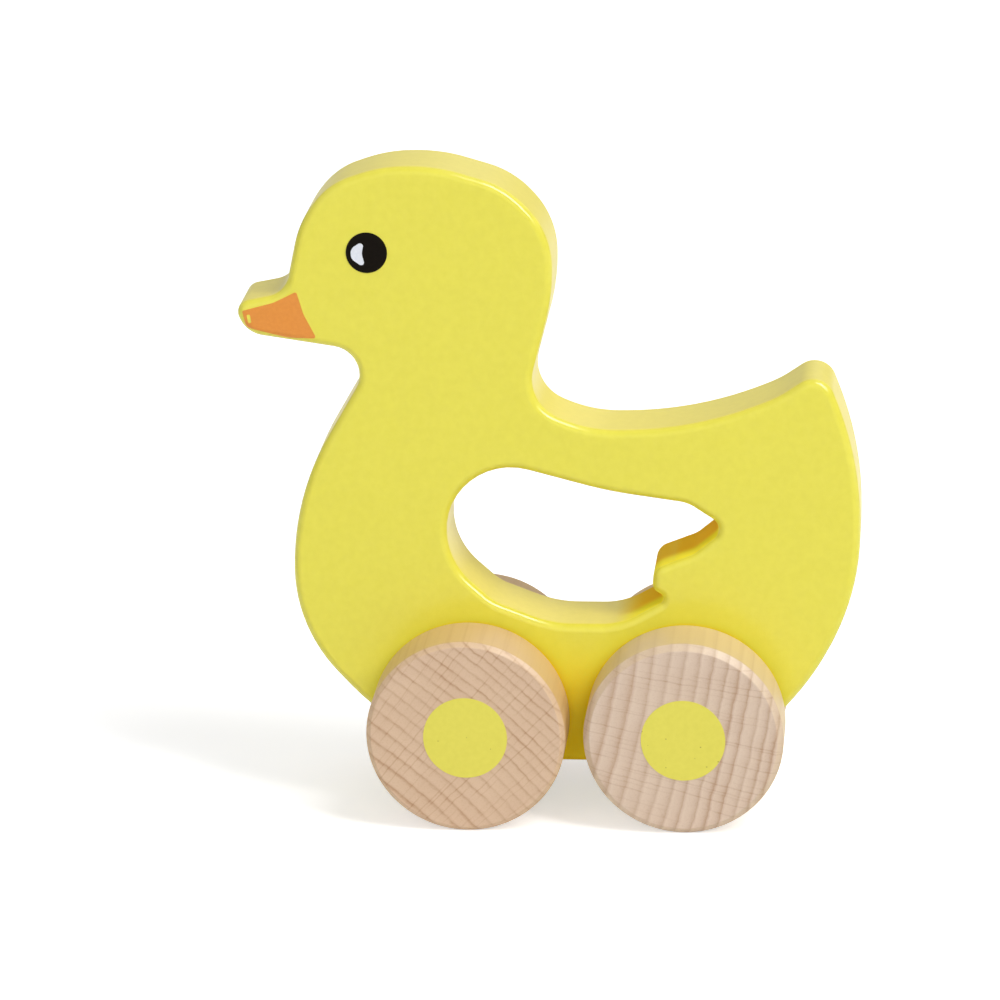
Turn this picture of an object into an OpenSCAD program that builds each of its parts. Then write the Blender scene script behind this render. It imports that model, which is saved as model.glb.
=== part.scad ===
// Push-along wooden duck on four wheels.
// A flat duck is sawn from one board, with a wing-shaped hole through it to grip it by.
// Two dowel axles turn in plain bores through the board, and a wheel is glued to each end of both.
// The duck looks along +X, its left side is +Y, and its wheels stand on the floor at Z = 0.
// The outlines are drawn in the board's plane, from the middle between the axles, at axle height.

/* [Body] */
// Thickness of the board
body_thickness = 16; // [12:0.5:22]
// Rounding along every edge of the board
edge_radius = 1.6; // [0.5:0.1:2]
// Foremost point of the chest, ahead of the middle between the axles
chest_reach = 54.5; // [50:0.1:60]
// Rearmost point of the rump, behind the middle between the axles
rump_reach = 53.8; // [50:0.2:60]
// Lowest point of the back, above the axles
back_height = 56.7; // [50:0.1:62]
// Corner of the tail tip, above the axles
tail_height = 69.2; // [60:0.1:76]
// Flat underside of the belly, below the axles
belly_depth = 9.7; // [7:0.1:14]

/* [Head] */
// Top of the head, above the axles
crown_height = 107.7; // [100:0.1:116]
// Back of the head, ahead of the middle between the axles
head_set = 3.9; // [0:0.1:8]
// Length of the head from its back to the root of the beak
head_length = 50.6; // [46:0.1:56]
// Length of the beak ahead of its root, to the upper corner of its tip
beak_length = 10.2; // [8:0.1:14]
// Lower corner of the beak's tip, behind the upper one
beak_rake = 2.7; // [2:0.1:5]
// Root of the beak's top line, below the top of the head
beak_drop = 24.5; // [22:0.1:27]
// Fall of the beak's top line from its root to its tip
beak_fall = 2; // [1:0.1:4]
// Depth of the beak at its tip
beak_depth = 5.9; // [4:0.1:8]
// Throat under the beak, below the beak's root
throat_drop = 11.7; // [10:0.1:13]
// Throat under the beak, behind the beak's root
throat_set = 17; // [14:0.1:20]

/* [Grip hole] */
// Middle of the hole, below the lowest point of the back
grip_drop = 23.7; // [22:0.1:26]
// Front end of the hole, ahead of the middle between the axles
grip_front = 24.5; // [20:0.1:28]
// Tip of the hole's long feather, behind the middle between the axles
grip_tip = 28.5; // [26:0.1:32]

/* [Wheels] */
// Diameter of a wheel
wheel_diameter = 38; // [32:1:46]
// Width of a wheel
wheel_width = 13.2; // [9:0.1:18]
// Bevel on both rims of a wheel
wheel_bevel = 1.2; // [0.5:0.1:2.5]
// Gap between the front wheel and the rear wheel
wheel_gap = 3.4; // [2:0.2:8]
// Play between a wheel and the board
side_gap = 0.7; // [0.5:0.1:2]
// Wood left outside the blind bore of a wheel
hub_wall = 4; // [2:0.5:6]

/* [Axles] */
// Diameter of an axle dowel
axle_diameter = 6; // [5:0.5:8]
// Play all round an axle in the board
running_gap = 0.08; // [0.04:0.01:0.1]
// Glue line all round an axle in a wheel
glue_gap = 0.05; // [0.02:0.01:0.1]
// Room for glue at the end of an axle
glue_pocket = 0.5; // [0.2:0.1:1]

/* [Paint] */
// Thickness of a coat of paint
paint_coat = 0.1; // [0.05:0.05:0.3]
// Diameter of the dot on a wheel
dot_diameter = 16; // [10:0.5:20]
// Diameter of the eye
eye_diameter = 7.8; // [6:0.1:10]
// Middle of the eye, behind the root of the beak
eye_set = 15.8; // [12:0.1:20]
// Middle of the eye, below the top of the head
eye_drop = 16.4; // [12:0.1:20]
// Patch on the beak, behind the beak's root
patch_back = 5.8; // [4:0.1:7]
// Lower edge of the patch, below the beak's root
patch_drop = 8.6; // [7:0.1:9]
// Depth of the patch at its back
patch_depth = 8.9; // [7:0.1:10]
// Front of the patch, behind the upper corner of the beak's tip
patch_margin = 2.5; // [2:0.1:4]

/* [Hidden] */

// Colours of the lacquered body, the bare wood and the paint
lacquer = [0.90, 0.87, 0.36];
beech = [0.83, 0.71, 0.58];
orange = [0.91, 0.58, 0.25];
black = [0.10, 0.08, 0.07];
white = [0.90, 0.90, 0.94];

// Largest turn between two points of a rounded corner, and between two points of a rounded edge
corner_step = 9;
edge_step = 30;
// Overlap of the rounded edge and the flat middle of the board
seam = 0.2;
// Facets of a true circle, and how far a cutter stands out of what it cuts
round_facets = 96;
proud = 1;

// A corner is [x, z, radius]. The corners of an outline run anticlockwise, seen with +X to the right.
// Corners of the head, from the back of the head and the top of the crown
beak_tip = head_length + beak_length;
head_corners = [
    [head_length - throat_set, -beak_drop - throat_drop, 5.5],
    [beak_tip - beak_rake, -beak_drop - beak_fall - beak_depth, 6],
    [beak_tip, -beak_drop - beak_fall, 2.5],
    [head_length, -beak_drop, 5],
    [head_length - 3.3, -9.8, 22],
    [head_length - 9.5, -3.2, 16],
    [head_length - 19, 0, 28],
    [head_length - 29, 0, 32],
    [8.2, -4, 18],
    [0, -12.8, 16.5],
    [0, -25, 40]
];

// Corners of the whole duck: belly and chest, head, then nape, back, tail and rump
duck_corners = concat(
    [
        [chest_reach - 23.8, -belly_depth, 45],
        [chest_reach, 16.5, 31],
        [chest_reach - 0.2, 43, 55]
    ],
    moved(head_corners, [head_set, crown_height]),
    [
        [head_set + 5.6, back_height + 5.3, 8],
        [-2, back_height, 25],
        [-22.5, back_height + 0.2, 70],
        [15.5 - rump_reach, back_height + 6.7, 23],
        [7 - rump_reach, tail_height, 4.2],
        [-rump_reach, tail_height - 18.3, 65],
        [-rump_reach, 24, 50],
        [9 - rump_reach, 8, 50],
        [23.1 - rump_reach, -belly_depth, 35]
    ]
);

// Corners of the wing-shaped hole, with its long and its short feather tip
grip_corners = moved(
    [
        [grip_front - 8.4, -10.6, 10],
        [grip_front, -2.9, 14],
        [grip_front + 1.2, 20.1, 12.5],
        [-6, 11.6, 80],
        [7.4 - grip_tip, 9.4, 7],
        [-grip_tip, 4.5, 2.3],
        [6.2 - grip_tip, -0.6, 5],
        [-14.6, -3.6, 3],
        [-14.2, -8, 2.1],
        [-17.4, -9.6, 1],
        [-8, -14.9, 15],
        [5, -14.9, 22]
    ],
    [0, back_height - grip_drop]
);

// Corners of the orange patch on the beak, in shares of its length and depth from its lower back corner
patch_length = patch_back + beak_length - patch_margin;
patch_shares = [
    [0, 0, 0.05],
    [0.4, 0.02, 0.85],
    [0.95, 0.25, 0.13],
    [1, 0.58, 0.1],
    [0.57, 0.75, 0.64],
    [0.26, 1, 0.05],
    [0.17, 0.54, 0.64]
];
beak_corners = moved(
    [for (c = patch_shares) [c[0] * patch_length, c[1] * patch_depth, c[2] * patch_depth]],
    [head_set + head_length - patch_back, crown_height - beak_drop - patch_drop]
);

// Corners of the bean-shaped glint, in shares of the eye's diameter from its middle
glint_shares = [
    [0.38, -0.14, 0.2],
    [0.38, 0.1, 0.2],
    [0.15, 0.25, 0.06],
    [0.07, 0.19, 0.06],
    [0.115, -0.02, 0.3],
    [0.045, -0.3, 0.06],
    [0.16, -0.3, 0.06]
];
glint_corners = eye_diameter * glint_shares;

// Places worked out from the sizes above
axle_height = wheel_diameter / 2;
axle_spacing = wheel_diameter + wheel_gap;
wheel_inset = body_thickness / 2 + side_gap;
axle_seat = wheel_width - hub_wall;
axle_length = 2 * (wheel_inset + axle_seat - glue_pocket);
eye_place = [head_set + head_length - eye_set, crown_height - eye_drop];
duck_loop = loop(duck_corners, 0);
duck_xs = [for (point = duck_loop) point[0]];
middle = -(max(duck_xs) + min(duck_xs)) / 2;

// The rounding stays inside the tightest corner and half the board
rounding = min(
    edge_radius,
    tightest(duck_corners, 1) - 2 * seam,
    tightest(grip_corners, -1) - 2 * seam,
    body_thickness / 2 - seam
);

function moved(corners, by) = [for (c = corners) [c[0] + by[0], c[1] + by[1], c[2]]];
function flat(corner) = [corner[0], corner[1]];
function at(list, i) = list[(i + len(list)) % len(list)];
function heading(a, b) = atan2(b[1] - a[1], b[0] - a[0]);

// Turn of an outline at a corner: left is positive
function turn(corners, i) =
    let (
        before = heading(at(corners, i - 1), at(corners, i)),
        after = heading(at(corners, i), at(corners, i + 1)),
        swing = after - before
    )
    swing - 360 * round(swing / 360);

// Length that a rounded corner takes from the sides that meet there
function taken(corners, i) = at(corners, i)[2] * tan(abs(turn(corners, i)) / 2);
function side(corners, i) = norm(flat(at(corners, i + 1)) - flat(at(corners, i)));

// Radius of a corner, less where its sides are too short for it
function fitted(corners, i) =
    at(corners, i)[2] * min(
        1,
        side(corners, i) / (taken(corners, i) + taken(corners, i + 1)),
        side(corners, i - 1) / (taken(corners, i - 1) + taken(corners, i))
    );

// Smallest radius among the corners that turn one way
function tightest(corners, way) =
    min([for (i = [0 : len(corners) - 1]) if (way * turn(corners, i) > 0) fitted(corners, i)]);

// Points of one rounded corner, on the outline grown outwards by a margin
function corner_arc(corners, i, margin) =
    let (
        swing = turn(corners, i),
        way = sign(swing),
        radius = fitted(corners, i),
        start = heading(at(corners, i - 1), at(corners, i)),
        along = [cos(start), sin(start)],
        across = [-sin(start), cos(start)],
        first = flat(at(corners, i)) - radius * tan(abs(swing) / 2) * along,
        centre = first + way * radius * across,
        steps = max(1, ceil(abs(swing) / corner_step))
    )
    [
        for (k = [0 : steps])
            let (angle = start + swing * k / steps)
            centre + (way * radius + margin) * [sin(angle), -cos(angle)]
    ];

// Points of a whole outline, grown outwards by a margin
function loop(corners, margin) =
    [for (i = [0 : len(corners) - 1]) each corner_arc(corners, i, margin)];

// Section of the rounded edge: distance out from the outline, and place across the board
function edge_section() =
    let (
        half = body_thickness / 2,
        inner = -rounding - seam,
        round_end = [for (a = [0 : edge_step : 90]) rounding * [cos(a) - 1, sin(a)]],
        upper = [for (p = round_end) [p[0], p[1] + half - rounding]],
        lower = [for (k = [len(upper) - 1 : -1 : 0]) [upper[k][0], -upper[k][1]]]
    )
    concat([[inner, -half]], lower, upper, [[inner, half]]);

// Stands what is drawn in the plane up in the duck's own plane, left side first
module upright() {
    translate([middle, 0, axle_height]) rotate([90, 0, 0]) children();
}

// The rounded edge all along an outline; way is 1 with the wood inside it, -1 with the wood outside
module rounded_edge(corners, way) {
    section = edge_section();
    rows = len(section);
    count = len(loop(corners, 0));
    points = [for (s = section) for (p = loop(corners, way * s[0])) [p[0], p[1], s[1]]];
    faces = [
        for (j = [0 : rows - 1]) for (i = [0 : count - 1])
            let (
                next_i = (i + 1) % count,
                next_j = (j + 1) % rows,
                a = j * count + i,
                b = j * count + next_i,
                c = next_j * count + next_i,
                d = next_j * count + i
            )
            way > 0 ? [a, d, c, b] : [a, b, c, d]
    ];
    polyhedron(points, faces);
}

// Puts its children on an axle, which lies along Y
module on_axle(end) {
    translate([middle + end * axle_spacing / 2, 0, axle_height]) rotate([-90, 0, 0]) children();
}

// A flat coat of paint on the left side (1) or the right side (-1) of the board, over earlier coats
module coat(hand, under = 0) {
    rise = body_thickness / 2 + under * paint_coat;
    mirror([0, hand > 0 ? 0 : 1, 0])
        translate([middle, rise, axle_height])
            rotate([90, 0, 0])
                mirror([0, 0, 1]) linear_extrude(paint_coat) children();
}

module body() {
    color(lacquer) difference() {
        upright() union() {
            linear_extrude(body_thickness, center = true) difference() {
                polygon(loop(duck_corners, -rounding));
                polygon(loop(grip_corners, rounding));
            }
            rounded_edge(duck_corners, 1);
            rounded_edge(grip_corners, -1);
        }
        for (end = [-1, 1])
            on_axle(end)
                cylinder(
                    h = body_thickness + 2 * proud,
                    d = axle_diameter + 2 * running_gap,
                    center = true,
                    $fn = round_facets
                );
    }
}

module axle(end) {
    color(beech) on_axle(end)
        cylinder(h = axle_length, d = axle_diameter, center = true, $fn = round_facets);
}

// A wheel on the left (1) or right (-1) end of an axle, with a blind bore from its inner face
module wheel(end, hand) {
    radius = wheel_diameter / 2;
    face = radius - wheel_bevel;
    bore = axle_diameter / 2 + glue_gap;
    color(beech) on_axle(end) mirror([0, 0, hand > 0 ? 0 : 1]) translate([0, 0, wheel_inset])
        rotate_extrude($fn = round_facets) polygon([
            [bore, 0],
            [face, 0],
            [radius, wheel_bevel],
            [radius, wheel_width - wheel_bevel],
            [face, wheel_width],
            [0, wheel_width],
            [0, axle_seat],
            [bore, axle_seat]
        ]);
}

// The painted dot in the middle of a wheel's outer face
module dot(end, hand) {
    color(lacquer) on_axle(end) mirror([0, 0, hand > 0 ? 0 : 1])
        translate([0, 0, wheel_inset + wheel_width])
            cylinder(h = paint_coat, d = dot_diameter, $fn = round_facets);
}

module eye(hand) {
    color(black) coat(hand) translate(eye_place) circle(d = eye_diameter, $fn = round_facets);
}

// The glint lies on the paint of the eye
module glint(hand) {
    color(white) coat(hand, 1) translate(eye_place) polygon(loop(glint_corners, 0));
}

// The patch ends where the beak's rounded edge begins
module beak(hand) {
    color(orange) coat(hand) intersection() {
        polygon(loop(beak_corners, 0));
        polygon(loop(duck_corners, -rounding));
    }
}

module axle_front() { axle(1); }
module axle_rear() { axle(-1); }
module wheel_front_left() { wheel(1, 1); }
module wheel_front_right() { wheel(1, -1); }
module wheel_rear_left() { wheel(-1, 1); }
module wheel_rear_right() { wheel(-1, -1); }
module dot_front_left() { dot(1, 1); }
module dot_front_right() { dot(1, -1); }
module dot_rear_left() { dot(-1, 1); }
module dot_rear_right() { dot(-1, -1); }
module eye_left() { eye(1); }
module eye_right() { eye(-1); }
module glint_left() { glint(1); }
module glint_right() { glint(-1); }
module beak_left() { beak(1); }
module beak_right() { beak(-1); }

body();
axle_front();
axle_rear();
wheel_front_left();
wheel_front_right();
wheel_rear_left();
wheel_rear_right();
dot_front_left();
dot_front_right();
dot_rear_left();
dot_rear_right();
eye_left();
eye_right();
glint_left();
glint_right();
beak_left();
beak_right();
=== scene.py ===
# Push-along wooden duck on four wheels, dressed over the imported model.
# +X is the duck's front, +Y its left side and +Z is up. Sizes are in millimetres, meshes in metres.
import math

import bpy
from mathutils import Matrix, Vector


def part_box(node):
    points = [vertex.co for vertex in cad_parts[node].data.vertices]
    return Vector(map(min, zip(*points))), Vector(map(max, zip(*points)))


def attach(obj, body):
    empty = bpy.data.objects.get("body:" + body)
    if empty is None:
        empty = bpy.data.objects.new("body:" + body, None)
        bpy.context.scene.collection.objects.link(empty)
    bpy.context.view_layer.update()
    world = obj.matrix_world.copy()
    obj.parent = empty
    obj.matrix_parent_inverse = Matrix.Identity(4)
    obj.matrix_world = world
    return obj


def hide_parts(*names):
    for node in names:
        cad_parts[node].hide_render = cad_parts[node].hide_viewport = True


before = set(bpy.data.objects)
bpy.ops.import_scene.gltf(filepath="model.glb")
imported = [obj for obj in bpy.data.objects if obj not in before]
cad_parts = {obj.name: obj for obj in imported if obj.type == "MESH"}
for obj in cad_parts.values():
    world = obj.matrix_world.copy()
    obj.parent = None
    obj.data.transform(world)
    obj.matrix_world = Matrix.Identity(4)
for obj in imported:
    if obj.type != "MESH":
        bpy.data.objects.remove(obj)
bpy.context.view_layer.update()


# Duck board
# One beech board, sawn to a duck's outline, with a wing-shaped hole through it to grip it by.
# A cutter rounds every edge, and the whole board is then sprayed with a satin yellow lacquer.
mm = 0.001
board_low, board_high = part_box("body")
front_low, front_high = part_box("axle_front")
rear_low, rear_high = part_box("axle_rear")
front_axle = (front_low + front_high) / 2
rear_axle = (rear_low + rear_high) / 2
axle_middle = (front_axle + rear_axle) / 2
axle_radius = (front_high.z - front_low.z) / 2
board_half = (board_high.y - board_low.y) / 2
board_rounding = 1.6
bore_play = 0.08

# A corner is (x, z, radius), from the middle between the axles at axle height, anticlockwise.
duck_corners = [
    (30.7, -9.7, 45),
    (54.5, 16.5, 31),
    (54.3, 43, 55),
    (37.5, 71.5, 5.5),
    (62, 75.3, 5.5),
    (64.7, 81.2, 2.5),
    (54.5, 83.2, 5),
    (51.2, 97.9, 22),
    (45, 104.5, 16),
    (35.5, 107.7, 28),
    (25.5, 107.7, 32),
    (12.1, 103.7, 18),
    (3.9, 94.9, 16.5),
    (3.9, 82.7, 40),
    (9.5, 62, 8),
    (-2, 56.7, 25),
    (-22.5, 56.9, 70),
    (-38.3, 63.4, 23),
    (-46.8, 69.2, 4.2),
    (-53.8, 50.9, 65),
    (-53.8, 24, 50),
    (-44.8, 8, 50),
    (-30.7, -9.7, 35),
]
long_feather = (-28.5, 37.5)
short_feather = (-17.4, 23.4)
grip_corners = [
    (16.1, 22.4, 10),
    (24.5, 30.1, 14),
    (25.7, 53.1, 12.5),
    (-6, 44.6, 80),
    (-21.1, 42.4, 7),
    (*long_feather, 2.3),
    (-22.3, 32.4, 5),
    (-14.6, 29.4, 3),
    (-14.2, 25, 2.1),
    (*short_feather, 1),
    (-8, 18.1, 15),
    (5, 18.1, 22),
]


def corner_knots(corners):
    """Two knots for each rounded corner, as (place, handle before, handle after)."""
    count = len(corners)
    points = [Vector(corner[:2]) for corner in corners]
    sides = [points[(i + 1) % count] - points[i] for i in range(count)]
    turns = [sides[i - 1].angle(sides[i]) for i in range(count)]
    taken = [corners[i][2] * math.tan(turns[i] / 2) for i in range(count)]
    room = [sides[i].length / (taken[i] + taken[(i + 1) % count]) for i in range(count)]
    shrink = [min(1, room[i - 1], room[i]) for i in range(count)]
    knots = []
    for i in range(count):
        way_in = sides[i - 1].normalized()
        way_out = sides[i].normalized()
        reach = taken[i] * shrink[i]
        round_handle = 4 / 3 * math.tan(turns[i] / 4) * corners[i][2] * shrink[i]
        straight_in = sides[i - 1].length - reach - taken[i - 1] * shrink[i - 1]
        straight_out = sides[i].length - reach - taken[(i + 1) % count] * shrink[(i + 1) % count]
        start = points[i] - way_in * reach
        end = points[i] + way_out * reach
        knots.append((start, start - way_in * straight_in / 3, start + way_in * round_handle))
        knots.append((end, end - way_out * round_handle, end + way_out * straight_out / 3))
    return knots


def flat_shape(name, outlines, half_depth, rounding):
    """A plate cut to the outlines, standing in the duck's plane, as a mesh at its place."""
    bpy.ops.object.select_all(action="DESELECT")
    bpy.ops.curve.primitive_bezier_circle_add()
    shape = bpy.context.object
    shape.name = name
    drawing = shape.data
    drawing.splines.clear()
    for corners in outlines:
        knots = corner_knots(corners)
        spline = drawing.splines.new("BEZIER")
        spline.bezier_points.add(len(knots) - 1)
        spline.use_cyclic_u = True
        for i, (point, (place, before, after)) in enumerate(zip(spline.bezier_points, knots)):
            point.handle_left_type = "FREE" if i % 2 else "VECTOR"
            point.handle_right_type = "VECTOR" if i % 2 else "FREE"
            point.co = place.to_3d()
            point.handle_left = before.to_3d()
            point.handle_right = after.to_3d()
    drawing.dimensions = "2D"
    drawing.fill_mode = "BOTH"
    drawing.resolution_u = 12
    drawing.extrude = half_depth - rounding
    drawing.bevel_depth = rounding
    drawing.bevel_resolution = 6
    drawing.offset = -rounding
    bpy.ops.object.convert(target="MESH")
    shape = bpy.context.object
    shape.rotation_euler = (math.pi / 2, 0, 0)
    shape.scale = (mm, mm, mm)
    shape.location = axle_middle
    bpy.ops.object.transform_apply(location=True, rotation=True, scale=True)
    bpy.ops.object.mode_set(mode="EDIT")
    bpy.ops.mesh.select_all(action="SELECT")
    bpy.ops.mesh.remove_doubles(threshold=0.002 * mm)
    bpy.ops.mesh.normals_make_consistent(inside=False)
    bpy.ops.object.mode_set(mode="OBJECT")
    return shape


def pick(piece):
    """Makes a piece the only one that is selected."""
    bpy.ops.object.select_all(action="DESELECT")
    piece.select_set(True)
    bpy.context.view_layer.objects.active = piece


def cut_by(piece, tool, operation):
    """Cuts the piece with a tool shape, which is then thrown away."""
    pick(piece)
    cut = piece.modifiers.new("cut", "BOOLEAN")
    cut.operation = operation
    cut.solver = "EXACT"
    cut.object = tool
    bpy.ops.object.modifier_apply(modifier=cut.name)
    bpy.data.objects.remove(tool)


def smooth_over(piece):
    """Shades the roundings smoothly, and keeps the flat faces flat."""
    pick(piece)
    bpy.ops.object.shade_smooth_by_angle(angle=math.radians(40))
    weighted = piece.modifiers.new("flat faces", "WEIGHTED_NORMAL")
    weighted.keep_sharp = True
    bpy.ops.object.modifier_apply(modifier=weighted.name)


board = flat_shape("lacquered_duck", [duck_corners, grip_corners], board_half / mm, board_rounding)
for axle in (front_axle, rear_axle):
    bpy.ops.object.select_all(action="DESELECT")
    bpy.ops.mesh.primitive_cylinder_add(
        vertices=64,
        radius=axle_radius + bore_play * mm,
        depth=3 * board_half,
        location=axle,
        rotation=(math.pi / 2, 0, 0),
    )
    cut_by(board, bpy.context.object, "DIFFERENCE")
smooth_over(board)
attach(board, "duck")
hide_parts("body")


def from_srgb(red, green, blue):
    """A colour as read from a paint chart, from 0 to 255, as the linear colour that a shader takes."""
    parts = [part / 255 for part in (red, green, blue)]
    linear = [p / 12.92 if p <= 0.04045 else ((p + 0.055) / 1.055) ** 2.4 for p in parts]
    return (*linear, 1)


def add_node(tree, kind, settings=None, values=None):
    """A node with its settings, and a value or a link for each input that is named."""
    node = tree.nodes.new("ShaderNode" + kind)
    for name, setting in (settings or {}).items():
        setattr(node, name, setting)
    for socket, value in (values or {}).items():
        if isinstance(value, bpy.types.NodeSocket):
            tree.links.new(value, node.inputs[socket])
        else:
            node.inputs[socket].default_value = value
    return node


def add_ramp(tree, factor, stops):
    """A colour ramp through the stops, each a place from 0 to 1 and a colour."""
    ramp = add_node(tree, "ValToRGB", values={"Fac": factor})
    marks = ramp.color_ramp.elements
    marks[0].position, marks[0].color = stops[0]
    marks[1].position, marks[1].color = stops[-1]
    for position, colour in stops[1:-1]:
        marks.new(position).color = colour
    return ramp.outputs["Color"]


def work_out(tree, operation, first, second=0.0):
    """The result of one sum on two values or links."""
    return add_node(tree, "Math", {"operation": operation}, {0: first, 1: second}).outputs["Value"]


def smooth_step(tree, value, start, end):
    """A share that goes smoothly from 0 at the start to 1 at the end."""
    return add_node(
        tree,
        "MapRange",
        {"interpolation_type": "SMOOTHSTEP"},
        {"Value": value, "From Min": start, "From Max": end},
    ).outputs["Result"]


def mix_tints(tree, share, first, second, blend="MIX"):
    """The second tint laid over the first, by a share."""
    settings = {"data_type": "RGBA", "blend_type": blend}
    return add_node(tree, "Mix", settings, {0: share, 6: first, 7: second}).outputs[2]


def mix_values(tree, share, first, second):
    """The second value instead of the first, by a share."""
    return add_node(tree, "Mix", values={0: share, 2: first, 3: second}).outputs[0]


def flatness_of(tree):
    """1 where the surface faces along the axles, and 0 where it runs along them."""
    normal = add_node(tree, "TexCoord").outputs["Normal"]
    facing = add_node(tree, "SeparateXYZ", values={"Vector": normal})
    return work_out(tree, "ABSOLUTE", facing.outputs["Y"])


def new_material(name):
    """A material with a shader and an output, and the place of each point on the piece."""
    material = bpy.data.materials.new(name)
    material.use_nodes = True
    tree = material.node_tree
    tree.nodes.clear()
    output = tree.nodes.new("ShaderNodeOutputMaterial")
    shader = tree.nodes.new("ShaderNodeBsdfPrincipled")
    tree.links.new(shader.outputs["BSDF"], output.inputs["Surface"])
    place = add_node(tree, "TexCoord").outputs["Object"]
    return material, tree, shader, place


lacquer, tree, shader, place = new_material("satin_yellow_lacquer")
mottle = add_node(tree, "TexNoise", values={"Vector": place, "Scale": 650, "Detail": 3, "Roughness": 0.6})
tint = add_ramp(
    tree,
    mottle.outputs["Fac"],
    [(0.3, from_srgb(230, 221, 71)), (0.7, from_srgb(234, 225, 75))],
)

# Painted light: the sawn edges, which face up and sideways, are painted a little warmer than the faces,
# for warm light falling on them from above
painted_edge_warm_light = (1.01, 0.94, 0.9, 1)
wall = add_node(
    tree,
    "MapRange",
    values={"Value": flatness_of(tree), "From Min": 0.5, "From Max": 0.15},
).outputs["Result"]
tint = mix_tints(tree, wall, tint, painted_edge_warm_light, "MULTIPLY")

# Painted shade: where ambient occlusion finds the faces hemmed in, close to the wheels, their yellow is
# painted deeper and then amber, for the shade and the colour that bounces to and fro there
recess_reach = 20
recess = add_node(tree, "AmbientOcclusion", {"samples": 8}, {"Distance": recess_reach * mm}).outputs["AO"]
painted_shade_tint = add_ramp(tree, recess, [(0.32, from_srgb(255, 218, 2)), (0.42, from_srgb(240, 234, 50))])
open_share = work_out(tree, "MAXIMUM", smooth_step(tree, recess, 0.3, 0.78), wall)
tint = mix_tints(tree, open_share, painted_shade_tint, tint)

# Painted shade and light on the walls of the two feather tips, which are also made dull: the far part of
# each wall is painted amber for the shadow deep in the narrow slot, and the near part a brighter yellow
# where light reaches in
tip_shade_top = 5
tip_shade_full = 1.2
depth = add_node(tree, "SeparateXYZ", values={"Vector": place}).outputs["Y"]
far_share = smooth_step(tree, depth, tip_shade_top * mm, tip_shade_full * mm)
nearness = 0
for tip, reach, full in ((long_feather, 15.5, 10.5), (short_feather, 12.5, 5)):
    tip_place = axle_middle + Vector((tip[0], 0, tip[1])) * mm
    away = add_node(tree, "VectorMath", {"operation": "SUBTRACT"}, {0: place, 1: tip_place}).outputs[0]
    flat_away = add_node(tree, "VectorMath", {"operation": "MULTIPLY"}, {0: away, 1: (1, 0, 1)}).outputs[0]
    distance = add_node(tree, "VectorMath", {"operation": "LENGTH"}, {0: flat_away}).outputs["Value"]
    near = smooth_step(tree, distance, reach * mm, full * mm)
    nearness = work_out(tree, "MAXIMUM", near, nearness)
painted_tip_shade = work_out(tree, "MULTIPLY", wall, nearness)
painted_tip_light_and_shade = mix_tints(tree, far_share, from_srgb(254, 244, 40), from_srgb(246, 200, 0))
tint = mix_tints(tree, painted_tip_shade, tint, painted_tip_light_and_shade)

# A satin sheen with a fine spray texture, duller on the sawn edges, close to the wheels and on the
# feather-tip walls
wall_dullness = 0.34
recess_dullness = 0.95
feather_tip_dullness = 1.0
peel = add_node(tree, "TexNoise", values={"Vector": place, "Scale": 1100, "Detail": 3})
bump = add_node(
    tree,
    "Bump",
    values={"Strength": 0.22, "Distance": 0.00002, "Height": peel.outputs["Fac"]},
)
sheen = add_node(tree, "MapRange", values={"Value": mottle.outputs["Fac"], "To Min": 0.17, "To Max": 0.25})
dullness = mix_values(tree, wall, sheen.outputs["Result"], wall_dullness)
dullness = mix_values(tree, open_share, recess_dullness, dullness)
dullness = mix_values(tree, painted_tip_shade, dullness, feather_tip_dullness)
tree.links.new(tint, shader.inputs["Base Color"])
tree.links.new(dullness, shader.inputs["Roughness"])
tree.links.new(bump.outputs["Normal"], shader.inputs["Normal"])
board.data.materials.append(lacquer)


# Orange beak
# A patch of orange printed on each side of the beak, over the lacquer. It runs down over the rounded
# lower edge, leaves a line of yellow along the top, and on the left side leaves a small bare spot of yellow
# at the tip.
print_film = 0.04
beak_corners = [
    (48.6, 74.6, 0.4),
    (54.1, 74.7, 7.5),
    (61.9, 76.7, 1),
    (62.6, 79.9, 0.3),
    (56.6, 81.5, 6),
    (52.2, 83.7, 0.4),
    (51, 79.4, 5.7),
]
bare_spot_corners = [
    (60.9, 77.4, 0.3),
    (61.5, 77.6, 0.25),
    (61.8, 79.2, 0.25),
    (61.1, 79.2, 0.3),
]


def choose_faces(piece, test):
    """Selects the faces of a piece that pass a test, and goes into edit mode."""
    pick(piece)
    bpy.ops.object.mode_set(mode="EDIT")
    bpy.ops.mesh.select_mode(type="FACE")
    bpy.ops.mesh.select_all(action="DESELECT")
    bpy.ops.object.mode_set(mode="OBJECT")
    for face in piece.data.polygons:
        face.select = test(face)
    bpy.ops.object.mode_set(mode="EDIT")


def printed_colour(name, speckle_scale, darker, lighter, dullness):
    """A printed colour that is finely speckled, and its shader."""
    material, tree, shader, place = new_material(name)
    speckle = add_node(tree, "TexNoise", values={"Vector": place, "Scale": speckle_scale, "Detail": 4})
    stops = [(0.3, from_srgb(*darker)), (0.7, from_srgb(*lighter))]
    tree.links.new(add_ramp(tree, speckle.outputs["Fac"], stops), shader.inputs["Base Color"])
    shader.inputs["Roughness"].default_value = dullness
    return material, shader


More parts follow.
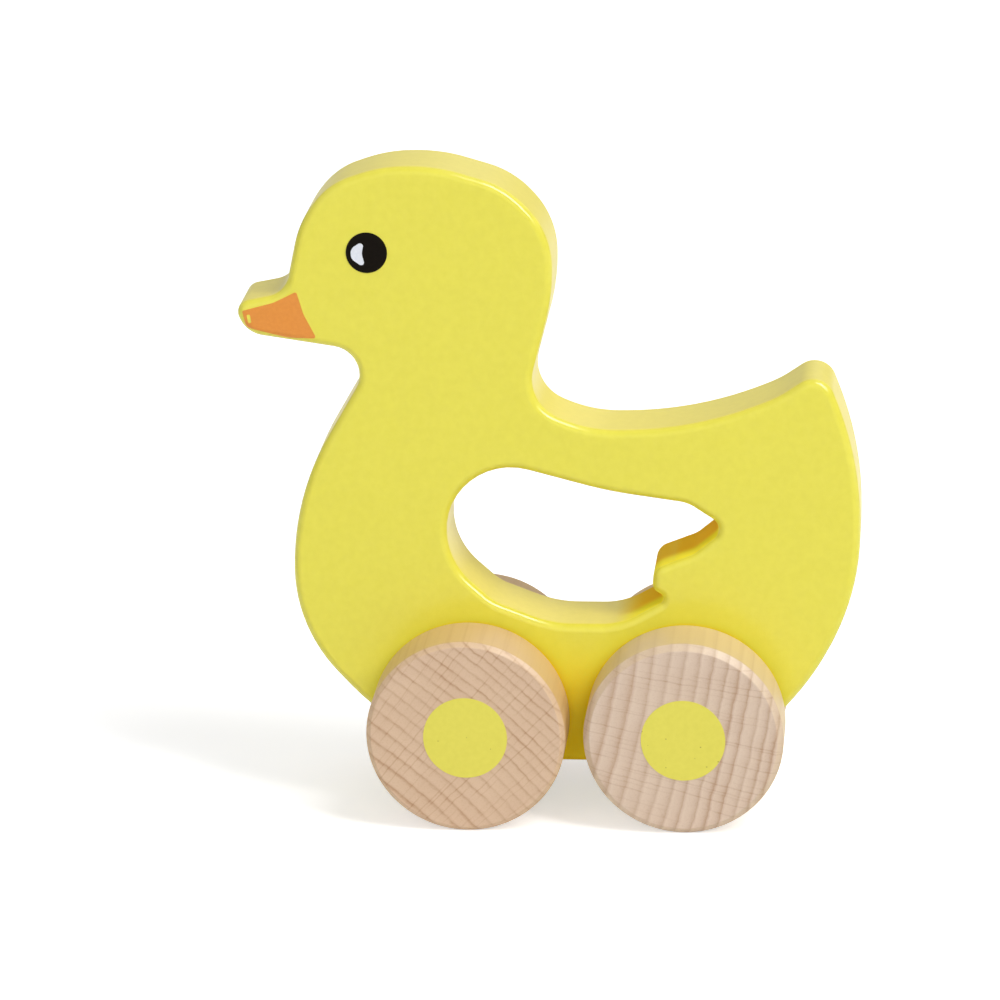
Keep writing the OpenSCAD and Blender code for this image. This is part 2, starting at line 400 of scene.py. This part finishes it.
orange, shader = printed_colour("orange_beak_print", 1500, (226, 139, 44), (232, 147, 50), 0.35)
steepest_print = 0.15
for side, node in ((1, "beak_left"), (-1, "beak_right")):
    patch = board.copy()
    patch.data = board.data.copy()
    patch.name = "orange_" + node
    patch.data.materials.clear()
    bpy.context.scene.collection.objects.link(patch)
    outline = flat_shape("patch_outline", [beak_corners], 1.5 * board_rounding, 0)
    if side == 1:
        bare_spot = flat_shape("bare_spot_outline", [bare_spot_corners], 2 * board_rounding, 0)
        cut_by(outline, bare_spot, "DIFFERENCE")
    outline.location.y = side * board_half
    cut_by(patch, outline, "INTERSECT")
    choose_faces(patch, lambda face: face.normal.y * side < steepest_print)
    bpy.ops.mesh.delete(type="FACE")
    bpy.ops.object.mode_set(mode="OBJECT")
    film = patch.modifiers.new("film", "SOLIDIFY")
    film.thickness = print_film * mm
    film.offset = 1
    bpy.ops.object.modifier_apply(modifier=film.name)
    bpy.ops.mesh.customdata_custom_splitnormals_clear()
    smooth_over(patch)
    patch.data.materials.append(orange)
    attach(patch, "duck")
    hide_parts(node)


# Eyes
# A round black eye with a white bean-shaped glint, printed on each side of the head over the lacquer.
# Both inks lie flat and dull, so the solids keep their shapes and get the inks' finish.
black, shader = printed_colour("black_eye_print", 2500, (11, 6, 2), (18, 12, 6), 0.45)
shader.inputs["Specular IOR Level"].default_value = 0.06
white, shader = printed_colour("white_glint_print", 2500, (221, 225, 236), (230, 233, 241), 0.45)


def finish_node(node, material):
    """Gives a model node that keeps its shape a better material."""
    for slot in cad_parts[node].material_slots:
        slot.material = material


for hand in ("left", "right"):
    finish_node("eye_" + hand, black)
    finish_node("glint_" + hand, white)


# Axles
# Two beech dowels, bare and sanded, that turn in the bores of the board. Only their middle shows, in
# the narrow gap between a wheel and the board.
def beech_grain():
    """Beech as cut from a tree: rings round the pith, rays out of it, and pores along the fibres."""
    grain = bpy.data.node_groups.new("beech_grain", "ShaderNodeTree")
    sockets = grain.interface
    sockets.new_socket("Place", in_out="INPUT", socket_type="NodeSocketVector")
    for name in ("Pith distance", "Ring gap", "Ring line", "Ring shade", "Ray gap", "Ray line"):
        sockets.new_socket(name, in_out="INPUT", socket_type="NodeSocketFloat")
    for name in ("Darkness", "Height"):
        sockets.new_socket(name, in_out="OUTPUT", socket_type="NodeSocketFloat")
    given = grain.nodes.new("NodeGroupInput").outputs
    result = grain.nodes.new("NodeGroupOutput").inputs

    def reckon(operation, first, second=0.0):
        return work_out(grain, operation, first, second)

    def stretched(factors):
        values = {0: given["Place"], 1: factors}
        return add_node(grain, "VectorMath", {"operation": "MULTIPLY"}, values).outputs["Vector"]

    def noise(vector, scale, detail):
        values = {"Vector": vector, "Scale": scale, "Detail": detail}
        return add_node(grain, "TexNoise", values=values).outputs["Fac"]

    def grey(value):
        return (value, value, value, 1)

    across = stretched((1, 0.04, 1))
    split = add_node(grain, "SeparateXYZ", values={"Vector": given["Place"]})
    flat = stretched((1, 0, 1))
    out = add_node(grain, "VectorMath", {"operation": "LENGTH"}, {0: flat}).outputs["Value"]
    angle = reckon("ARCTAN2", split.outputs["Z"], split.outputs["X"])
    along = reckon("MULTIPLY", angle, given["Pith distance"])

    # Rings: pale early wood that darkens slowly, with a thin dark line where each year ends.
    # The years grow narrower outwards, and the tree's growth makes each ring sway a little.
    sway = reckon("MULTIPLY", reckon("SUBTRACT", noise(across, 0.07, 2), 0.5), 1.3)
    ripple = reckon("MULTIPLY", reckon("SUBTRACT", noise(across, 0.8, 2), 0.5), 0.5)
    reach = reckon("ADD", reckon("SUBTRACT", out, given["Pith distance"]), reckon("ADD", sway, ripple))
    narrowing = reckon("MULTIPLY_ADD", reach, 0.007)
    narrowing.node.inputs[2].default_value = 1
    year = reckon("DIVIDE", reckon("MULTIPLY", reach, narrowing), given["Ring gap"])
    part = reckon("FRACT", year)
    number = reckon("FLOOR", year)
    strength = add_node(grain, "TexWhiteNoise", {"noise_dimensions": "1D"}, {"W": number}).outputs["Value"]
    strength = reckon("MULTIPLY_ADD", strength, 0.5)
    strength.node.inputs[2].default_value = 0.5
    shade = add_ramp(grain, part, [(0.0, grey(0.9)), (0.2, grey(0)), (0.6, grey(0.3)), (1.0, grey(1))])
    line = add_ramp(grain, part, [(0.0, grey(0.6)), (0.07, grey(0)), (0.76, grey(0)), (0.95, grey(1))])
    shade = reckon("MULTIPLY", shade, given["Ring shade"])
    line = reckon("MULTIPLY", line, given["Ring line"])
    faint = add_ramp(grain, noise(across, 0.4, 2), [(0.35, grey(0.35)), (0.6, grey(1))])
    line = reckon("MULTIPLY", line, faint)
    rings = reckon("MULTIPLY", reckon("ADD", shade, line), strength)

    # Rays: thin straight lines out from the pith, each with its own place, strength and ends
    drift = reckon("MULTIPLY", reckon("SUBTRACT", noise(across, 0.3, 3), 0.5), 0.6)
    lane = reckon("ADD", reckon("DIVIDE", along, given["Ray gap"]), drift)
    lane_number = reckon("FLOOR", lane)
    chance = add_node(grain, "TexWhiteNoise", {"noise_dimensions": "1D"}, {"W": lane_number})
    chances = add_node(grain, "SeparateColor", values={"Color": chance.outputs["Color"]}).outputs
    aside = reckon("ABSOLUTE", reckon("SUBTRACT", reckon("FRACT", lane), chances["Red"]))
    aside = reckon("MULTIPLY", aside, given["Ray gap"])
    thin = add_ramp(grain, aside, [(0.04, grey(1)), (0.2, grey(0))])
    stretch_place = add_node(
        grain,
        "CombineXYZ",
        values={
            "X": reckon("MULTIPLY", out, 0.09),
            "Y": reckon("MULTIPLY", split.outputs["Y"], 0.02),
            "Z": reckon("MULTIPLY", lane_number, 7.3),
        },
    ).outputs["Vector"]
    broken = add_ramp(grain, noise(stretch_place, 1, 1), [(0.4, grey(0)), (0.55, grey(1))])
    bold = reckon("MULTIPLY_ADD", chances["Green"], 0.7)
    bold.node.inputs[2].default_value = 0.3
    rays = reckon("MULTIPLY", reckon("MULTIPLY", thin, broken), reckon("MULTIPLY", bold, given["Ray line"]))

    # Pores and cloudy tone
    pores = add_ramp(grain, noise(across, 3.2, 3), [(0.5, grey(0)), (0.72, grey(1))])
    cloud = reckon("MULTIPLY", reckon("SUBTRACT", noise(across, 0.16, 3), 0.5), 0.3)
    dark = reckon("ADD", rings, rays)
    dark = reckon("ADD", dark, reckon("MULTIPLY", pores, 0.14))
    dark = reckon("ADD", dark, cloud)
    grain.links.new(reckon("ADD", dark, 0.1), result["Darkness"])
    sunk = reckon("ADD", reckon("MULTIPLY", pores, 0.6), reckon("MULTIPLY", rays, 0.5))
    grain.links.new(reckon("SUBTRACT", 1.0, sunk), result["Height"])
    return grain


grain_group = beech_grain()


def beech_material(name, pith, cut, pale, dark):
    """Bare beech with its pith at a place in the duck's plane, given from the origin in millimetres."""
    material, tree, shader, place = new_material(name)
    mapping = add_node(
        tree,
        "Mapping",
        values={"Vector": place, "Location": (-pith[0], 0, -pith[1]), "Scale": (1 / mm, 1 / mm, 1 / mm)},
    )
    grain = add_node(tree, "Group", {"node_tree": grain_group}, {"Place": mapping.outputs["Vector"], **cut})

    # End grain shows its rings sharply, and wood along the fibres is more even. Wood along the fibres is
    # also painted yellower, partly for its own warmer colour and partly as painted light bounced from the
    # yellow board
    side_grain_and_bounce_tint = (1.02, 0.97, 0.68, 1)
    end_share = flatness_of(tree)
    contrast = add_node(tree, "MapRange", values={"Value": end_share, "To Min": 0.25, "To Max": 1})
    darkness = work_out(tree, "MULTIPLY", grain.outputs["Darkness"], contrast.outputs["Result"])
    end_tint = add_ramp(tree, darkness, [(0, pale), (1, dark)])
    side_tint = mix_tints(tree, 1.0, end_tint, side_grain_and_bounce_tint, "MULTIPLY")
    tint = mix_tints(tree, end_share, side_tint, end_tint)
    bump = add_node(
        tree,
        "Bump",
        values={"Strength": 0.35, "Distance": 0.00003, "Height": grain.outputs["Height"]},
    )
    dull = add_node(tree, "MapRange", values={"Value": darkness, "To Min": 0.46, "To Max": 0.6})
    tree.links.new(tint, shader.inputs["Base Color"])
    tree.links.new(dull.outputs["Result"], shader.inputs["Roughness"])
    tree.links.new(bump.outputs["Normal"], shader.inputs["Normal"])
    return material


dowel_cut = {
    "Pith distance": 30,
    "Ring gap": 2,
    "Ring line": 0.3,
    "Ring shade": 0.3,
    "Ray gap": 1.2,
    "Ray line": 0.3,
}
dowel = beech_material(
    "bare_beech_dowel",
    (30, -10),
    dowel_cut,
    from_srgb(222, 193, 158),
    from_srgb(186, 148, 112),
)
finish_node("axle_front", dowel)
finish_node("axle_rear", dowel)


# Wheels
# Four turned beech wheels, bare and sanded, with a bevel on both rims, narrower on the front pair. The
# fibres run along the axle, so both faces show end grain. Each is bored blind from its inner face and
# glued on its axle.
wheel_bevels = {"front": 0.9, "rear": 1.2}
rim_softness = 0.18
glue_line = 0.05
wheel_low, wheel_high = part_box("wheel_front_left")
wheel_radius = (wheel_high.z - wheel_low.z) / 2
wheel_width = wheel_high.y - wheel_low.y
bore_spare = 0.5
bore_depth = front_high.y + bore_spare * mm - wheel_low.y
inner_facing = -0.99


def choose_circles(piece):
    """Selects every edge that runs round the axle, and goes into edit mode."""
    pick(piece)
    bpy.ops.object.mode_set(mode="EDIT")
    bpy.ops.mesh.select_mode(type="EDGE")
    bpy.ops.mesh.select_all(action="DESELECT")
    bpy.ops.object.mode_set(mode="OBJECT")
    for edge in piece.data.edges:
        first, second = (piece.data.vertices[i].co for i in edge.vertices)
        edge.select = abs(first.y - second.y) < 0.01 * mm
    bpy.ops.object.mode_set(mode="EDIT")


def turn_wheel(bevel):
    """A wheel with bevelled rims and a blind bore, as a mesh at the front left wheel's place."""
    bpy.ops.object.select_all(action="DESELECT")
    bpy.ops.mesh.primitive_cylinder_add(
        vertices=160,
        radius=wheel_radius,
        depth=wheel_width,
        location=(wheel_low + wheel_high) / 2,
        rotation=(math.pi / 2, 0, 0),
    )
    wheel = bpy.context.object
    bpy.ops.object.transform_apply(location=True, rotation=True, scale=True)
    for width, steps in ((bevel, 1), (rim_softness, 3)):
        choose_circles(wheel)
        bpy.ops.mesh.bevel(offset=width * mm, offset_type="OFFSET", segments=steps, affect="EDGES")
        bpy.ops.object.mode_set(mode="OBJECT")
    choose_faces(wheel, lambda face: face.normal.y < inner_facing)
    inner_rim = max(
        (wheel.data.vertices[i].co - front_axle).xz.length
        for face in wheel.data.polygons
        if face.normal.y < inner_facing
        for i in face.vertices
    )
    bpy.ops.mesh.inset(thickness=inner_rim - axle_radius - glue_line * mm)
    bpy.ops.mesh.extrude_region_move(TRANSFORM_OT_translate={"value": (0, bore_depth, 0)})
    bpy.ops.object.mode_set(mode="OBJECT")
    return wheel


# Each wheel has its own bit of wood: where the pith lies from the wheel's middle, and how the wood shows
diagonal_cut = {
    "Pith distance": 150,
    "Ring gap": 2.2,
    "Ring line": 0.55,
    "Ring shade": 0.26,
    "Ray gap": 1.3,
    "Ray line": 0.42,
}
upright_cut = {
    "Pith distance": 240,
    "Ring gap": 2.7,
    "Ring line": 0.16,
    "Ring shade": 0.72,
    "Ray gap": 1.1,
    "Ray line": 0.28,
}
wheels = [
    ("front_left", front_axle, 0, (100, -111), diagonal_cut, (219, 190, 161), (180, 138, 104)),
    # The front right wheel's tones are painted darker, as painted shade for the board's shadow that falls
    # on it
    ("front_right", front_axle, math.pi, (-197, 137), upright_cut, (202, 172, 144), (166, 132, 105)),
    ("rear_left", rear_axle, 0, (234, 52), upright_cut, (222, 201, 181), (181, 147, 120)),
    ("rear_right", rear_axle, math.pi, (56, 139), diagonal_cut, (220, 194, 167), (183, 147, 118)),
]
blanks = {pair: turn_wheel(bevel) for pair, bevel in wheel_bevels.items()}
for corner, axle, turn, pith, cut, pale, dark in wheels:
    pair = corner.split("_")[0]
    wheel = blanks[pair].copy()
    wheel.data = blanks[pair].data.copy()
    wheel.name = "turned_wheel_" + corner
    bpy.context.scene.collection.objects.link(wheel)
    place_here = Matrix.Translation(axle) @ Matrix.Rotation(turn, 4, "Z") @ Matrix.Translation(-front_axle)
    wheel.data.transform(place_here)
    smooth_over(wheel)
    beech = beech_material(
        "bare_beech_" + corner,
        (axle.x / mm + pith[0], axle.z / mm + pith[1]),
        cut,
        from_srgb(*pale),
        from_srgb(*dark),
    )
    wheel.data.materials.append(beech)
    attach(wheel, pair + "_wheels")
    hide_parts("wheel_" + corner)
for blank in blanks.values():
    bpy.data.objects.remove(blank)


# Wheel dots
# A flat dot of yellow paint, stamped in the middle of each wheel's outer face on the bare wood.
# A few open pores of the end grain show through the paint as dark specks.
dot_paint, tree, shader, place = new_material("yellow_dot_paint")
mottle = add_node(tree, "TexNoise", values={"Vector": place, "Scale": 900, "Detail": 4})
tint = add_ramp(
    tree,
    mottle.outputs["Fac"],
    [(0.3, from_srgb(224, 215, 82)), (0.7, from_srgb(228, 219, 86))],
)
face_place = add_node(tree, "VectorMath", {"operation": "MULTIPLY"}, {0: place, 1: (1, 0, 1)})
pores = add_node(tree, "TexVoronoi", values={"Vector": face_place.outputs["Vector"], "Scale": 900})
open_pore_level = 0.86
speck = add_node(
    tree,
    "MapRange",
    values={"Value": pores.outputs["Distance"], "From Min": 0.16, "From Max": 0.08},
).outputs["Result"]
chance = add_node(tree, "SeparateColor", values={"Color": pores.outputs["Color"]}).outputs["Red"]
chosen = work_out(tree, "GREATER_THAN", chance, open_pore_level)
speck = work_out(tree, "MULTIPLY", speck, chosen)
tint = mix_tints(tree, speck, tint, from_srgb(172, 160, 58))
bump = add_node(
    tree,
    "Bump",
    values={"Strength": 0.2, "Distance": 0.00002, "Height": mottle.outputs["Fac"]},
)
tree.links.new(tint, shader.inputs["Base Color"])
tree.links.new(bump.outputs["Normal"], shader.inputs["Normal"])
shader.inputs["Roughness"].default_value = 0.5
for corner, *_ in wheels:
    finish_node("dot_" + corner, dot_paint)


# Floor, light and camera
# A white sweep in a white room, lit by soft lights beyond the tail and behind, and a front fill. A narrow
# strip by the key light only draws the bright line along the rounded edges. The camera stands at the
# photograph's place, a little behind the duck and above it.
bpy.context.scene.view_settings.view_transform = "Standard"
bpy.ops.object.select_all(action="DESELECT")
bpy.ops.mesh.primitive_plane_add(size=12)
floor = bpy.context.object
floor.name = "floor"


def look_rays(tree):
    """The kinds of ray, and 1 for those that look at a thing, straight or by way of gloss or glass."""
    ray = add_node(tree, "LightPath").outputs
    seen = work_out(tree, "MAXIMUM", ray["Is Camera Ray"], ray["Is Glossy Ray"])
    return ray, work_out(tree, "MAXIMUM", seen, ray["Is Transmission Ray"])


paper_grey = (0.84, 0.84, 0.84, 1)
paper_lift = 0.52
paper = bpy.data.materials.new("white_paper")
paper.use_nodes = True
tree = paper.node_tree
tree.nodes.clear()
output = tree.nodes.new("ShaderNodeOutputMaterial")
matt = add_node(tree, "BsdfDiffuse", values={"Color": paper_grey})
ray, seen = look_rays(tree)
glow = add_node(tree, "Emission", values={"Strength": work_out(tree, "MULTIPLY", seen, paper_lift)})
both = add_node(tree, "AddShader", values={0: matt.outputs["BSDF"], 1: glow.outputs["Emission"]})
tree.links.new(both.outputs["Shader"], output.inputs["Surface"])
floor.data.materials.append(paper)

# Seen by the camera the room is white all over; as light it is dark low down and white overhead
room_light = 0.3
world = bpy.data.worlds.new("white_room")
bpy.context.scene.world = world
world.use_nodes = True
tree = world.node_tree
tree.nodes.clear()
output = tree.nodes.new("ShaderNodeOutputWorld")
ray, seen = look_rays(tree)
level = add_node(tree, "MapRange", values={"Value": seen, "To Min": room_light, "To Max": 1})
way_up = add_node(tree, "SeparateXYZ", values={"Vector": add_node(tree, "TexCoord").outputs["Generated"]})
overhead = add_node(
    tree,
    "MapRange",
    {"interpolation_type": "SMOOTHSTEP"},
    {"Value": way_up.outputs["Z"], "From Min": 0.04, "From Max": 0.32, "To Min": 0.6, "To Max": 1},
)
overhead = work_out(tree, "MAXIMUM", overhead.outputs["Result"], ray["Is Camera Ray"])
strength = work_out(tree, "MULTIPLY", level.outputs["Result"], overhead)
room = add_node(tree, "Background", values={"Color": (1, 1, 1, 1), "Strength": strength})
tree.links.new(room.outputs["Background"], output.inputs["Surface"])

duck_middle = Vector((0, 0, 65)) * mm
for name, way, distance, width, height, power in (
    ("key_light", (-0.56, 0.38, 0.74), 3, 0.7, 2.4, 60),
    ("edge_strip", (-0.56, 0.38, 0.74), 3, 0.5, 2.4, 70),
    ("back_light", (-0.4, -0.6, 0.7), 3, 4, 3, 16),
    ("front_fill", (0.26, 0.95, 0.22), 3, 5, 4, 48),
):
    softbox = bpy.data.lights.new(name, "AREA")
    softbox.shape = "RECTANGLE"
    softbox.size = width
    softbox.size_y = height
    softbox.energy = power
    lamp = bpy.data.objects.new(name, softbox)
    bpy.context.scene.collection.objects.link(lamp)
    lamp.location = duck_middle + Vector(way).normalized() * distance
    lamp.rotation_euler = Vector(way).to_track_quat("Z", "Y").to_euler()
    lamp.visible_diffuse = name != "edge_strip"

camera_data = bpy.data.cameras.new("camera")
camera = bpy.data.objects.new("camera", camera_data)
bpy.context.scene.collection.objects.link(camera)
bpy.context.scene.camera = camera
camera_data.lens = 172.8
camera_data.sensor_width = 36
camera_data.clip_start = 0.05
camera_data.clip_end = 50
camera_place = Vector((-72.3, 875, 330.2)) * mm
heading = Matrix.Rotation(math.radians(185.394), 4, "Z")
tilt = Matrix.Rotation(math.radians(90 - 17.115), 4, "X")
roll = Matrix.Rotation(math.radians(-1.113), 4, "Z")
camera.matrix_world = Matrix.Translation(camera_place) @ heading @ tilt @ roll
